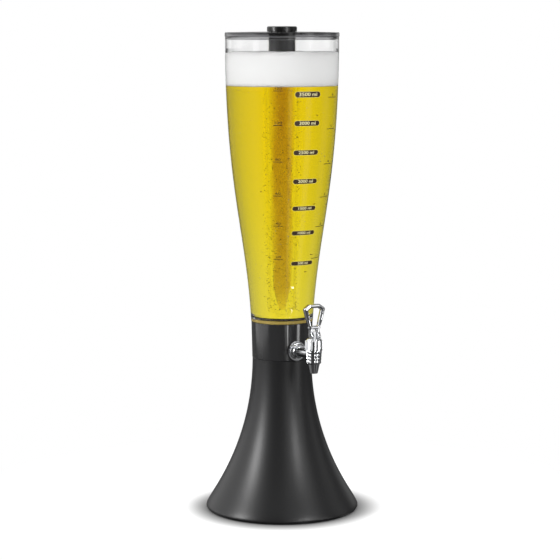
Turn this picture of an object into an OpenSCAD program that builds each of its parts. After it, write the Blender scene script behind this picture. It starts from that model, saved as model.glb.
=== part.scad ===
// Drink tower with a trumpet base, a clear flared vessel, an ice tube and a
// lever tap. Millimetres, +Z up. The origin is the centre of the base on the
// surface it stands on. The tap faces -Y.

/* [Base] */
// Height of the base from the table to the parting line under the collar
base_h = 223; // [205:1:240]
// Outer radius of the base's neck
neck_r = 42.8; // [41.5:0.1:44]
// Radius of the base at its foot
foot_r = 110; // [105:1:118]
// Wall of the base shell
base_wall = 3; // [2.6:0.1:3.4]
// Height over which the neck stays almost straight before it flares
neck_pull = 142; // [120:1:150]
// How far the flare aims past the foot before it turns down into the lip
flare_out = 8.3; // [6:0.1:10]
// Clear height under the lip of the shell
lip_lift = 1; // [0.6:0.1:1.4]

/* [Base cover] */
// Thickness of the cover that closes the base
cover_t = 2.6; // [2.2:0.1:3.2]
// Distance of the cover screws from the edge of the foot
screw_inset = 32; // [30:1:36]
// Thread radius of a cover screw
screw_r = 1.5; // [1.25:0.05:1.75]
// Distance of the rubber feet's centres from the edge of the foot
feet_inset = 18; // [17:0.5:20]
// Radius of a rubber foot
pad_r = 8; // [6:0.5:9]
// Thickness of a rubber foot
pad_t = 3.2; // [2.8:0.1:3.6]

/* [Collar] */
// Height of the collar that carries the tap
collar_h = 53; // [50:1:60]
// Growth of the collar's radius from its bottom to its top
collar_flare = 1.2; // [0.6:0.1:1.8]
// Wall of the collar at its rim
collar_wall = 3; // [2.6:0.1:3.4]
// Depth of the socket that takes the vessel
socket_depth = 18; // [14:0.5:20]
// Length of the spigot that stands in the base's neck
spigot_h = 18; // [12:0.5:24]

/* [Vessel] */
// Height of the clear vessel from the collar to its rim
vessel_h = 407; // [380:1:430]
// Outer radius of the vessel's rim
rim_r = 81.2; // [78:0.2:84]
// Wall of the vessel
vessel_wall = 3; // [2.4:0.1:3.4]
// Height over which the vessel stays almost straight below its rim
rim_pull = 216; // [190:1:230]
// Height over which the vessel stays almost straight above its foot
foot_pull = 134.5; // [110:0.5:145]
// Lean of the vessel's wall at its foot, in degrees
foot_lean = 3.3; // [2:0.1:5]

/* [Lid and ice tube] */
// Height of the lid's edge
lid_edge = 6.2; // [5:0.1:8]
// Thickness of the lid's plate at its edge
lid_plate = 3.2; // [2.6:0.1:3.8]
// Rise of the lid's crown above its edge
lid_crown = 1.2; // [0.6:0.1:2]
// Height of the skirt that centres the lid in the rim
skirt_h = 4.2; // [3:0.1:6]
// Outer radius of the ice tube's neck
tube_neck_r = 21; // [19.5:0.1:22]
// Outer radius of the ice tube just below its neck
tube_top_r = 19; // [17:0.1:19.4]
// Outer radius of the ice tube at its closed end
tube_end_r = 14.4; // [12:0.1:16]
// Wall of the ice tube
tube_wall = 1.9; // [1.6:0.1:2.2]
// Clear height between the ice tube and the foot of the vessel
tube_clear = 11; // [8:0.5:30]
// Height of the stopper's cap
cap_h = 7; // [5:0.1:9]
// Depth of the stopper's plug in the ice tube
plug_h = 28.4; // [24:0.1:30]

/* [Tap] */
// Distance from the tower's axis to the tap's axis
tap_reach = 97; // [94:0.5:99]
// Height of the tap's shank above the collar's bottom
shank_rise = 14.5; // [14:0.1:16]
// Outer radius of the threaded shank
shank_r = 6; // [5.5:0.1:6.4]
// Radius of the flange against the collar
flange_r = 14.2; // [13:0.1:15]
// Radius of the arm where it leaves the flange
arm_r = 7.75; // [7:0.05:8]
// Rise of the arm from the shank to the barrel
arm_rise = 2.5; // [1:0.1:2.8]
// Outer radius of the barrel's top fin
fin_r = 11.4; // [11:0.1:12]
// Number of grooves round the barrel
fin_count = 4; // [3:1:5]
// Number of upright bars that join the fins
bar_count = 5; // [3:1:6]
// Radius of the fluted bonnet
bonnet_r = 12.3; // [11.8:0.1:13]
// Number of flutes round the bonnet
flute_count = 12; // [8:1:16]
// Length of the spout below the barrel
spout_h = 14.5; // [10:0.5:20]

/* [Lever and valve] */
// Swing of the lever from shut to fully open, in degrees
lever_swing = 40; // [25:1:45]
// Lift of the valve when the lever is fully open
valve_lift = 2.8; // [2:0.1:3.2]
// Radius of the valve stem
stem_r = 3; // [2.6:0.1:3.2]
// Radius of the lever's pin
pin_r = 1.2; // [1:0.1:1.4]
// Height of the lever's loop above the fork
loop_h = 37; // [30:0.5:45]
// Half the width of the loop at its top corners
loop_top_w = 16; // [13:0.5:18]
// Half the width of the loop at its foot
loop_foot_w = 8.5; // [8:0.1:10]
// Depth of the loop from front to back
loop_depth = 8; // [6:0.2:9]
// Number of turns of the valve spring
spring_turns = 5; // [4:1:6]

/* [Hidden] */
$fn = 96;
eps = 0.01;

// Clearances: a slip fit between plastic parts, a running fit round a shaft,
// and the thin film that a seal keeps from its walls.
slip = 0.3;
running = 0.06;
film = 0.05;

// The profiles are cubic curves in (radius, height), drawn from top to bottom.
curve_steps = 48;

// The small chamfer that breaks a moulded or turned edge, and a finer one.
edge = 0.6;
fine_edge = 0.4;

// How far a cut or a groove runs past the face that it opens.
past = 1;

function bezier(p, t) =
    pow(1 - t, 3) * p[0] + 3 * pow(1 - t, 2) * t * p[1] + 3 * (1 - t) * t * t * p[2] + pow(t, 3) * p[3];

function bezier_dir(p, t) =
    let (d = pow(1 - t, 2) * (p[1] - p[0]) + 2 * (1 - t) * t * (p[2] - p[1]) + t * t * (p[3] - p[2]))
    d / norm(d);

// The point w inside the curve, square to it.
function inset(p, t, w) =
    let (d = bezier_dir(p, t))
    bezier(p, t) + w * [d[1], -d[0]];

function curve(p, from, to, w = 0) =
    [for (i = [0 : curve_steps]) inset(p, from + (to - from) * i / curve_steps, w)];

function arc(c, r, from, to, steps = 8) =
    [for (i = [0 : steps]) let (a = from + (to - from) * i / steps) c + r * [cos(a), sin(a)]];

// Base shell
lip_z = 3;
flare_z = 8;
inner_end_t = 0.85;
base_curve = [[neck_r, base_h], [neck_r, base_h - neck_pull], [foot_r + flare_out, flare_z], [foot_r, lip_z]];
lip_in = inset(base_curve, inner_end_t, base_wall);
neck_in_r = neck_r - base_wall;
neck_chamfer = 0.7;
foot_edge = 1;
key_w = 6;
key_h = 8;
key_depth = base_wall / 2;

// Base cover and its screws and feet
cover_z = 2;
cover_top_z = cover_z + cover_t;
cover_r = lip_in[0] - slip;
cover_rim_w = 2;
cover_rim_h = 3.2;
cover_rib_pitch = 25;
cover_rib_t = 1.8;
screw_count = 4;
screw_ring_r = foot_r - screw_inset;
screw_head_r = 2.15 * screw_r;
screw_head_h = 2.1;
screw_seat_z = cover_z + 2.4;
screw_boss_z = cover_top_z + 2;
screw_grip = 9;
recess_l = 1.2 * screw_head_r;
recess_w = 0.7;
recess_depth = 1.1;
boss_wall = 3.5;
boss_r = screw_r + boss_wall;
boss_top_z = base_h - 40;
rib_t = 2.4;
rib_reach = 14;
rib_lift = 8;
pad_count = 4;
feet_ring_r = foot_r - feet_inset;
pad_edge = 0.8;

// Collar
collar_bottom_r = neck_r + slip;
collar_top_r = collar_bottom_r + collar_flare;
collar_top_z = base_h + collar_h;
socket_r = collar_top_r - collar_wall;
well_r = collar_bottom_r - collar_wall;
socket_z = collar_top_z - socket_depth;
collar_floor = 2.9;
well_floor_z = base_h + collar_floor;
well_chamfer = 2;
spigot_r = neck_in_r - slip;
spigot_wall = 2.6;
shank_z = base_h + shank_rise;
shank_hole_r = shank_r + slip;
seat_r = 12.5;
seat_out_y = collar_bottom_r + 1.3;
seat_in_y = sqrt(pow(well_r, 2) - pow(seat_r, 2)) - 1.2;
spigot_edge = 1;

// Vessel
vessel_z = collar_top_z;
rim_z = vessel_z + vessel_h;
vessel_foot_r = collar_top_r + slip;
vessel_curve = [[rim_r, rim_z], [rim_r, rim_z - rim_pull],
                [vessel_foot_r + foot_pull * sin(foot_lean), vessel_z + foot_pull * cos(foot_lean)],
                [vessel_foot_r, vessel_z]];
rim_in_r = rim_r - vessel_wall;
rim_round = 0.7;
vessel_spigot_r = socket_r - slip;
spigot_gap = 2;
vessel_spigot_h = socket_depth - spigot_gap;
vessel_bore_r = vessel_spigot_r - vessel_wall;
vessel_edge = 0.8;
bore_rise = 4;
seal_r = 0.9;
seal_z = vessel_z - vessel_spigot_h / 2;

// Lid, ice tube and stopper
lid_r = rim_r + 0.4;
lid_edge_z = rim_z + lid_edge;
lid_top_z = lid_edge_z + lid_crown;
plate_z = lid_edge_z - lid_plate;
lid_round = 0.8;
lid_seat_w = 4;
crown_r = 0.6 * lid_r;
crown_z = lid_edge_z + 0.75 * lid_crown;
skirt_r = rim_in_r - 2 * slip;
skirt_wall = 2.2;
tube_flange_w = 3.4;
tube_flange_r = tube_neck_r + tube_flange_w;
tube_flange_t = 1.6;
tube_neck_h = 33;
tube_taper_h = 10;
tube_seat_z = lid_top_z - tube_flange_t;
tube_end_z = vessel_z + tube_clear;
neck_end_z = rim_z - tube_neck_h;
taper_top_z = neck_end_z - tube_taper_h;
tube_in_r = tube_neck_r - tube_wall;
cap_r = tube_neck_r + 0.4;
cap_z = lid_top_z + slip;
cap_round = 2;
plug_r = tube_in_r - slip;
plug_wall = 3;
plug_edge = 0.8;
plug_end_z = cap_z - plug_h;
stopper_seal_r = 0.8;
stopper_seal_drop = 11;
stopper_seal_z = cap_z - stopper_seal_drop;

// Tap body. The shank runs along Y, the barrel stands on the tap's own axis.
washer_t = 1.2;
washer_r = seat_r - 1;
flange_y = seat_out_y + washer_t;
flange_t = 1.6;
flange_land = 1.8;
flare_sink = 0.6;
flare_r = flange_r - flange_land - arm_r + flare_sink;
arm_end_r = 6.3;
port_z = shank_z + arm_rise;
passage_r = 3.5;
nut_t = 6;
nut_flat_r = 10;
nut_y = seat_in_y - washer_t;
shank_tail = 3;
shank_end_y = nut_y - nut_t - shank_tail;
barrel_top_z = port_z + arm_end_r + 0.2;
barrel_h = 18.5;
barrel_z = barrel_top_z - barrel_h;
fin_taper = 1.3;
fin_pitch = barrel_h / fin_count;
groove_h = 0.48 * fin_pitch;
groove_depth = 2.6;
core_r = fin_r - groove_depth;
core_overlap = 0.5;
bar_w = 4.8;
spout_r = 8.3;
spout_shoulder = 1.2;
spout_end_r = 5.3;
spout_end_z = barrel_z - spout_h;
outlet_r = 3.7;
chamber_r = 6.9;
chamber_rise = 5.5;
chamber_z = barrel_z + chamber_rise;
valve_seat_z = chamber_z - (chamber_r - outlet_r);
thread_r = 9.6;
thread_h = 11;

// Bonnet
bonnet_z = barrel_top_z;
bonnet_h = 16.9;
bonnet_top_z = bonnet_z + bonnet_h;
bonnet_top_t = 3.2;
bonnet_chamfer_h = 3.4;
bonnet_top_r = bonnet_r - 2.8;
shoulder_z = bonnet_top_z - bonnet_chamfer_h;
flute_r = 1.8;
flute_depth = 0.8;
flute_foot = 1.2;

// Valve
stem_hole_r = stem_r + running;
stem_end_z = chamber_z + 0.1;
piston_r = chamber_r - slip;
piston_rise = 1;
piston_z = port_z + passage_r + piston_rise;
piston_t = 4.4;
piston_seal_r = 0.7;
cup_r = chamber_r - 0.5;
cup_edge = 1.5;
cup_top_z = chamber_z + 3;
cup_lift = slip * sqrt(2);
spring_wire_r = 0.45;
spring_r = 5.2;
spring_gap = 0.1;

// Lever. It turns on a pin through the stem, and its cam rides on the bonnet.
// Height of the pin above the bonnet.
pin_rise = 6.1;
pin_z = bonnet_top_z + pin_rise;
stem_over_pin = 3.3;
stem_top_z = pin_z + stem_over_pin;
fork_gap = 2 * stem_r + 1;
cheek_t = 3.5;
fork_w = fork_gap + 2 * cheek_t;
cam_reach = pin_rise - slip;
// Lift of the pin for each degree that the lever turns.
lift_rate = valve_lift / lever_swing;
// The same lift for each radian: the contact stays this far in front of the pin.
cam_offset = lift_rate * 180 / PI;
pin_head_r = 2;
pin_head_t = 0.8;
pin_edge = 0.3;
fork_h = 6.5;
loop_z = pin_z + fork_h;
loop_top_z = loop_z + loop_h;
bar_r = 1.75;
top_bar_r = 2.5;
corner_drop = 6;

module ring(r, tube_r, z) {
    translate([0, 0, z])
        rotate_extrude()
            translate([r, 0])
                circle(r = tube_r, $fn = 32);
}

// The profile of a groove for a ring of that thickness in a wall beside r.
module seal_groove(r, tube_r, z) {
    translate([r - 2 * tube_r - 2 * film, z - tube_r - film])
        square([2 * tube_r + 2 * film + past, 2 * tube_r + 2 * film]);
}

module around(count, first = 0) {
    for (i = [0 : count - 1])
        rotate([0, 0, first + i * 360 / count])
            children();
}

// Puts a solid drawn along +Z onto the shank's axis, at y and pointing outward.
module on_shank(y) {
    translate([0, -y, shank_z])
        rotate([90, 0, 0])
            children();
}

module on_tap() {
    translate([0, -tap_reach, 0])
        children();
}

// ---- Base ----

module base_profile() {
    polygon(concat(
        [[neck_in_r, base_h], [neck_r - neck_chamfer, base_h], [neck_r, base_h - neck_chamfer]],
        curve(base_curve, 0.01, 1),
        [[foot_r - foot_edge, lip_lift], [lip_in[0], lip_lift]],
        curve(base_curve, inner_end_t, 0.01, base_wall)));
}

// The space that the bosses and ribs inside the shell may fill.
module base_inside() {
    rotate_extrude()
        polygon(concat(
            [[0, boss_top_z], [0, screw_boss_z], [screw_ring_r + 2 * boss_r, screw_boss_z]],
            curve(base_curve, inner_end_t - 0.05, 0.1, base_wall / 2)));
}

module base_shell() {
    color([0.13, 0.13, 0.14])
    difference() {
        union() {
            rotate_extrude()
                base_profile();
            intersection() {
                base_inside();
                around(screw_count, 45) {
                    translate([screw_ring_r, 0, screw_boss_z])
                        cylinder(r = boss_r, h = base_h);
                    translate([screw_ring_r - rib_reach, -rib_t / 2, screw_boss_z + rib_lift])
                        cube([rib_reach + screw_inset, rib_t, base_h]);
                }
            }
        }
        around(screw_count, 45)
            translate([screw_ring_r, 0, screw_boss_z - eps])
                cylinder(r = screw_r, h = screw_grip + past);
        around(2)
            translate([neck_in_r - past, -key_w / 2, base_h - key_h])
                cube([past + key_depth, key_w, key_h + past]);
    }
}

module base_cover() {
    color([0.12, 0.12, 0.13])
    difference() {
        union() {
            rotate_extrude()
                polygon([[0, cover_z], [cover_r - edge, cover_z], [cover_r, cover_z + edge],
                         [cover_r, cover_top_z + cover_rim_h], [cover_r - cover_rim_w, cover_top_z + cover_rim_h],
                         [cover_r - cover_rim_w, cover_top_z], [0, cover_top_z]]);
            for (i = [1, 2])
                rotate_extrude()
                    translate([i * cover_rib_pitch, cover_top_z - eps])
                        square([cover_rib_t, cover_rim_h]);
            around(screw_count, 45)
                translate([screw_ring_r, 0, cover_z + eps])
                    cylinder(r = boss_r, h = screw_boss_z - cover_z - eps);
        }
        around(screw_count, 45) {
            translate([screw_ring_r, 0, cover_z - eps])
                cylinder(r = screw_head_r + slip, h = screw_seat_z - cover_z + eps);
            translate([screw_ring_r, 0, cover_z])
                cylinder(r = screw_r + slip, h = screw_boss_z);
        }
        around(pad_count)
            translate([feet_ring_r, 0, cover_z - eps])
                cylinder(r = pad_r + slip / 2, h = pad_t - cover_z + eps);
    }
}

module cover_screws() {
    color([0.72, 0.73, 0.75])
    around(screw_count, 45)
        translate([screw_ring_r, 0, 0])
            difference() {
                union() {
                    translate([0, 0, screw_seat_z - screw_head_h])
                        cylinder(r = screw_head_r, h = screw_head_h);
                    translate([0, 0, screw_seat_z - eps])
                        cylinder(r = screw_r - film, h = screw_boss_z - screw_seat_z + screw_grip);
                }
                for (a = [0, 90])
                    rotate([0, 0, a])
                        translate([-recess_l / 2, -recess_w / 2, screw_seat_z - screw_head_h - eps])
                            cube([recess_l, recess_w, recess_depth]);
            }
}

module rubber_feet() {
    color([0.07, 0.07, 0.07])
    around(pad_count)
        translate([feet_ring_r, 0, 0])
            rotate_extrude()
                polygon([[0, 0], [pad_r - pad_edge, 0], [pad_r, pad_edge], [pad_r, pad_t], [0, pad_t]]);
}

// ---- Collar and vessel ----

module collar_profile() {
    polygon([[0, base_h], [spigot_r - spigot_wall, base_h], [spigot_r - spigot_wall, base_h - spigot_h],
             [spigot_r - spigot_edge, base_h - spigot_h], [spigot_r, base_h - spigot_h + spigot_edge],
             [spigot_r, base_h], [collar_bottom_r - edge, base_h], [collar_bottom_r, base_h + edge],
             [collar_top_r, collar_top_z - edge], [collar_top_r - edge, collar_top_z],
             [socket_r, collar_top_z], [socket_r, socket_z], [well_r, socket_z],
             [well_r, well_floor_z + well_chamfer], [well_r - well_chamfer, well_floor_z], [0, well_floor_z]]);
}

module collar() {
    color([0.06, 0.06, 0.065])
    difference() {
        union() {
            rotate_extrude()
                collar_profile();
            on_shank(seat_in_y)
                cylinder(r = seat_r, h = seat_out_y - seat_in_y);
            around(2)
                translate([spigot_r - spigot_wall, -key_w / 2 + slip, base_h - key_h + slip])
                    cube([spigot_wall + key_depth, key_w - 2 * slip, key_h - slip + past]);
        }
        on_shank(seat_in_y - eps)
            cylinder(r = shank_hole_r, h = seat_out_y - seat_in_y + 2 * eps);
    }
}

module vessel() {
    color([0.85, 0.87, 0.88, 0.35])
    rotate_extrude()
        difference() {
            polygon(concat(
                [[rim_in_r + rim_round, rim_z], [rim_r - rim_round, rim_z], [rim_r, rim_z - rim_round]],
                curve(vessel_curve, 0.005, 1),
                [[vessel_spigot_r, vessel_z], [vessel_spigot_r, vessel_z - vessel_spigot_h + vessel_edge],
                 [vessel_spigot_r - vessel_edge, vessel_z - vessel_spigot_h],
                 [vessel_bore_r, vessel_z - vessel_spigot_h], [vessel_bore_r, vessel_z + bore_rise]],
                curve(vessel_curve, 1 - 1 / curve_steps, 0.005, vessel_wall)));
            seal_groove(socket_r, seal_r, seal_z);
        }
}

module vessel_seal() {
    color([0.05, 0.05, 0.05])
    ring(socket_r - seal_r - film, seal_r, seal_z);
}

// ---- Lid, ice tube, stopper ----

module lid() {
    color([0.35, 0.36, 0.38, 0.6])
    rotate_extrude()
        polygon([[tube_neck_r + slip, plate_z], [skirt_r - skirt_wall, plate_z],
                 [skirt_r - skirt_wall, rim_z - skirt_h], [skirt_r - edge, rim_z - skirt_h],
                 [skirt_r, rim_z - skirt_h + edge], [skirt_r, rim_z], [lid_r - fine_edge, rim_z],
                 [lid_r, rim_z + fine_edge], [lid_r, lid_edge_z - lid_round], [lid_r - lid_round, lid_edge_z],
                 [crown_r, crown_z], [tube_flange_r + lid_seat_w, lid_top_z],
                 [tube_flange_r + slip, lid_top_z], [tube_flange_r + slip, tube_seat_z],
                 [tube_neck_r + slip, tube_seat_z]]);
}

// One outline runs down the outside, round the closed end and up the inside.
module ice_tube() {
    round_c = [0, tube_end_z + tube_end_r];
    color([0.75, 0.75, 0.72, 0.35])
    rotate_extrude()
        polygon(concat(
            [[tube_in_r, lid_top_z], [tube_flange_r, lid_top_z], [tube_flange_r, tube_seat_z],
             [tube_neck_r, tube_seat_z], [tube_neck_r, neck_end_z], [tube_top_r, taper_top_z]],
            arc(round_c, tube_end_r, 0, -90),
            arc(round_c, tube_end_r - tube_wall, -90, 0),
            [[tube_top_r - tube_wall, taper_top_z], [tube_in_r, neck_end_z]]));
}

module stopper() {
    color([0.04, 0.04, 0.04])
    rotate_extrude()
        difference() {
            polygon(concat(
                [[0, plug_end_z], [plug_r - plug_edge, plug_end_z], [plug_r, plug_end_z + plug_edge],
                 [plug_r, cap_z], [cap_r - edge, cap_z], [cap_r, cap_z + edge]],
                arc([cap_r - cap_round, cap_z + cap_h - cap_round], cap_round, 0, 90),
                [[0, cap_z + cap_h]]));
            translate([0, plug_end_z - past])
                square([plug_r - plug_wall, plug_h + cap_h - plug_wall + past]);
            seal_groove(tube_in_r, stopper_seal_r, stopper_seal_z);
        }
}

module stopper_seal() {
    color([0.09, 0.09, 0.09])
    ring(tube_in_r - stopper_seal_r - film, stopper_seal_r, stopper_seal_z);
}

// ---- Tap ----

// The flange flares into the arm in a quarter circle.
module flange() {
    rotate_extrude()
        polygon(concat([[0, 0], [flange_r, 0], [flange_r, flange_t - edge], [flange_r - edge, flange_t]],
                       arc([flange_r - flange_land, flange_t + flare_r], flare_r, -90, -180, 12),
                       [[0, flange_t + flare_r]]));
}

// A cone or a bore from the shank's axis out to the barrel, rising to the port.
module along_arm(r1, r2) {
    run = tap_reach - flange_y;
    translate([0, -flange_y, shank_z])
        rotate([90 - atan(arm_rise / run), 0, 0])
            cylinder(r1 = r1, r2 = r2, h = norm([run, arm_rise]));
}

module barrel_profile() {
    fins = [for (i = [0 : fin_count - 1])
                let (top = barrel_top_z - i * fin_pitch,
                     r = fin_r - fin_taper * (i + 0.5) / fin_count,
                     low = top - groove_h)
                each [[core_r, top - fine_edge], [core_r, low], [r - fine_edge, low], [r, low - fine_edge],
                      [r - 0.1, top - fin_pitch + fine_edge], [r - 0.1 - fine_edge, top - fin_pitch]]];
    polygon(concat(
        [[0, barrel_top_z + thread_h], [thread_r - edge, barrel_top_z + thread_h],
         [thread_r, barrel_top_z + thread_h - edge], [thread_r, barrel_top_z],
         [fin_r, barrel_top_z], [fin_r, barrel_top_z - fine_edge]],
        fins,
        [[spout_r + edge, barrel_z - spout_shoulder / 2], [spout_r, barrel_z - spout_shoulder],
         [spout_end_r + fine_edge / 2, spout_end_z + fine_edge], [spout_end_r - fine_edge / 2, spout_end_z],
         [0, spout_end_z]]));
}

module tap_body() {
    color([0.82, 0.83, 0.85])
    difference() {
        union() {
            on_shank(flange_y)
                flange();
            on_shank(shank_end_y)
                cylinder(r = shank_r, h = flange_y - shank_end_y + past);
            difference() {
                along_arm(arm_r, arm_end_r);
                on_shank(flange_y - arm_r)
                    cylinder(r = 2 * arm_r, h = arm_r);
                on_tap()
                    translate([0, 0, barrel_z])
                        cylinder(r = core_r - core_overlap, h = barrel_h + thread_h);
            }
            on_tap()
                rotate_extrude()
                    barrel_profile();
            on_tap()
                intersection() {
                    translate([0, 0, barrel_z])
                        cylinder(r1 = fin_r - fin_taper, r2 = fin_r, h = barrel_h);
                    around(bar_count, 90)
                        translate([0, -bar_w / 2, barrel_z])
                            cube([fin_r + past, bar_w, barrel_h]);
                }
        }
        along_arm(passage_r, passage_r);
        on_shank(shank_end_y - past)
            cylinder(r = passage_r, h = flange_y - shank_end_y + 3 * past);
        on_tap() {
            translate([0, 0, chamber_z])
                cylinder(r = chamber_r, h = barrel_top_z + thread_h);
            translate([0, 0, valve_seat_z])
                cylinder(r1 = outlet_r, r2 = chamber_r, h = chamber_z - valve_seat_z + eps);
            translate([0, 0, spout_end_z - past])
                cylinder(r = outlet_r, h = valve_seat_z - spout_end_z + past + eps);
        }
    }
}

module washer() {
    color([0.06, 0.06, 0.06])
    difference() {
        cylinder(r = washer_r, h = washer_t);
        translate([0, 0, -past])
            cylinder(r = shank_hole_r, h = washer_t + 2 * past);
    }
}

module tap_outer_washer() {
    on_shank(seat_out_y)
        washer();
}

module tap_inner_washer() {
    on_shank(nut_y)
        washer();
}

module tap_nut() {
    color([0.85, 0.85, 0.83])
    on_shank(nut_y - nut_t)
        difference() {
            cylinder(r = nut_flat_r / cos(30), h = nut_t, $fn = 6);
            translate([0, 0, -past])
                cylinder(r = shank_r + film, h = nut_t + 2 * past);
        }
}

module tap_bonnet() {
    color([0.82, 0.83, 0.85])
    on_tap()
        difference() {
            rotate_extrude()
                polygon([[0, bonnet_z], [bonnet_r - fine_edge, bonnet_z], [bonnet_r, bonnet_z + fine_edge],
                         [bonnet_r, shoulder_z], [bonnet_r - edge, shoulder_z + edge],
                         [bonnet_top_r + fine_edge, bonnet_top_z - fine_edge], [bonnet_top_r, bonnet_top_z],
                         [0, bonnet_top_z]]);
            translate([0, 0, bonnet_z - eps])
                cylinder(r = thread_r + slip, h = bonnet_h - bonnet_top_t + eps);
            translate([0, 0, bonnet_z])
                cylinder(r = stem_hole_r, h = bonnet_h + past);
            around(flute_count, 180 / flute_count)
                translate([bonnet_r + flute_r - flute_depth, 0, bonnet_z + flute_foot])
                    cylinder(r = flute_r, h = bonnet_h);
        }
}

// ---- Valve ----

function spring_point(i, steps) =
    let (a = 360 * spring_turns * i / steps,
         low = piston_z + piston_t + spring_wire_r + spring_gap,
         high = bonnet_top_z - bonnet_top_t - spring_wire_r - spring_gap)
    [spring_r * cos(a), spring_r * sin(a), low + (high - low) * i / steps];

module tap_spring() {
    sides = 6;
    steps = 16 * spring_turns;
    points = [for (i = [0 : steps])
                  let (c = spring_point(i, steps), a = 360 * spring_turns * i / steps)
                  for (s = [0 : sides - 1])
                      let (b = 360 * s / sides)
                      c + spring_wire_r * [cos(b) * cos(a), cos(b) * sin(a), sin(b)]];
    skin = [for (i = [0 : steps - 1])
                for (s = [0 : sides - 1])
                    let (n = (s + 1) % sides, k = i * sides)
                    each [[k + s, k + sides + s, k + n], [k + n, k + sides + s, k + sides + n]]];
    first = [for (s = [1 : sides - 2]) [0, s, s + 1]];
    last = [for (s = [1 : sides - 2]) [steps * sides, steps * sides + s + 1, steps * sides + s]];
    color([0.75, 0.75, 0.75])
    on_tap()
        polyhedron(points, concat(skin, first, last), convexity = 10);
}

module valve_stem() {
    color([0.8, 0.8, 0.8])
    on_tap()
        difference() {
            union() {
                translate([0, 0, stem_end_z])
                    cylinder(r = stem_r, h = stem_top_z - stem_end_z);
                translate([0, 0, piston_z])
                    cylinder(r = piston_r, h = piston_t);
            }
            rotate_extrude()
                seal_groove(chamber_r, piston_seal_r, piston_z + piston_t / 2);
            translate([-stem_r - past, 0, pin_z])
                rotate([0, 90, 0])
                    cylinder(r = pin_r + film, h = 2 * stem_r + 2 * past, $fn = 48);
        }
}

module stem_seal() {
    color([0.07, 0.07, 0.07])
    on_tap()
        ring(chamber_r - piston_seal_r - film, piston_seal_r, piston_z + piston_t / 2);
}

module valve_cup() {
    color([0.9, 0.9, 0.88])
    on_tap()
        difference() {
            rotate_extrude()
                polygon([[0, valve_seat_z + cup_lift], [outlet_r, valve_seat_z + cup_lift],
                         [cup_r, valve_seat_z + cup_lift + cup_r - outlet_r],
                         [cup_r, cup_top_z - cup_edge], [cup_r - cup_edge, cup_top_z], [0, cup_top_z]]);
            translate([0, 0, stem_end_z - eps])
                cylinder(r = stem_r + film, h = cup_top_z - stem_end_z + past);
        }
}

// ---- Lever ----

// The lever's cam in (forward, up) about its pin. A point's normal at angle a
// meets the bonnet when the lever has turned by a, and the pin then stands
// lift_rate * a higher: the outline is an involute of a circle.
function cam_point(a) =
    (cam_reach + lift_rate * a) * [sin(a), -cos(a)] + cam_offset * [cos(a), sin(a)];

module cheek_profile() {
    cam_steps = 12;
    polygon(concat(
        [[-loop_depth / 2, -cam_reach + 1], [-loop_depth / 2 + 1, -cam_reach]],
        [for (i = [0 : cam_steps]) cam_point(lever_swing * i / cam_steps)],
        [cam_point(lever_swing) + [0, 1.6], [loop_depth / 2 + 0.6, 3.4], [loop_depth / 2, loop_z - pin_z + 1],
         [-loop_depth / 2, loop_z - pin_z + 1]]));
}

// One joint of the loop: a rounded peg that runs from front to back.
module peg(x, z, r) {
    for (side = [-1, 1])
        translate([x, side * (loop_depth / 2 - r), z])
            sphere(r = r, $fn = 16);
}

module loop_bar(a, b) {
    hull() {
        peg(a[0], a[1], a[2]);
        peg(b[0], b[1], b[2]);
    }
}

module tap_lever() {
    foot = [loop_foot_w - bar_r, loop_z + top_bar_r, bar_r];
    corner = [loop_top_w - top_bar_r, loop_top_z - top_bar_r - corner_drop, top_bar_r];
    arch = [(loop_top_w - top_bar_r) * 0.5, loop_top_z - top_bar_r - corner_drop * 0.22, top_bar_r];
    color([0.84, 0.85, 0.87])
    on_tap() {
        difference() {
            for (side = [-1, 1])
                translate([side * (fork_w - cheek_t) / 2 - cheek_t / 2, 0, pin_z])
                    rotate([90, 0, 90])
                        linear_extrude(cheek_t)
                            mirror([1, 0])
                                cheek_profile();
            translate([-fork_w, 0, pin_z])
                rotate([0, 90, 0])
                    cylinder(r = pin_r + running, h = 2 * fork_w, $fn = 48);
        }
        for (side = [-1, 1]) {
            loop_bar([side * foot[0], foot[1], foot[2]], [side * corner[0], corner[1], corner[2]]);
            loop_bar([side * corner[0], corner[1], corner[2]], [side * arch[0], arch[1], arch[2]]);
        }
        loop_bar([-arch[0], arch[1], arch[2]], [arch[0], arch[1], arch[2]]);
        loop_bar([-foot[0], foot[1], top_bar_r], [foot[0], foot[1], top_bar_r]);
    }
}

module lever_pin() {
    reach = fork_w / 2 + slip;
    end = reach + pin_head_t;
    color([0.7, 0.7, 0.72])
    on_tap()
        translate([0, 0, pin_z])
            rotate([0, 90, 0])
                rotate_extrude()
                    polygon([[0, -end], [pin_head_r - pin_edge, -end], [pin_head_r, pin_edge - end],
                             [pin_head_r, -reach], [pin_r, -reach], [pin_r, reach], [pin_head_r, reach],
                             [pin_head_r, end - pin_edge], [pin_head_r - pin_edge, end], [0, end]]);
}

base_shell();
base_cover();
cover_screws();
rubber_feet();
collar();
vessel();
vessel_seal();
tap_body();
tap_outer_washer();
tap_inner_washer();
tap_nut();
tap_bonnet();
tap_spring();
valve_stem();
stem_seal();
valve_cup();
lever_pin();
tap_lever();
lid();
ice_tube();
stopper();
stopper_seal();
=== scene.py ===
# %% [markdown]
# # A drink tower in cells
# The tower stands on a black trumpet base. A glossy collar carries the tap and
# holds a clear flared vessel with a drink in it. The solids come from the CAD
# model and stay where they are. This script gives them their finishes, pours
# the drink, prints the scale, and sets up a small studio.

# %% The frame
import math

import bpy
import numpy as np
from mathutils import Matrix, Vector, noise


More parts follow.
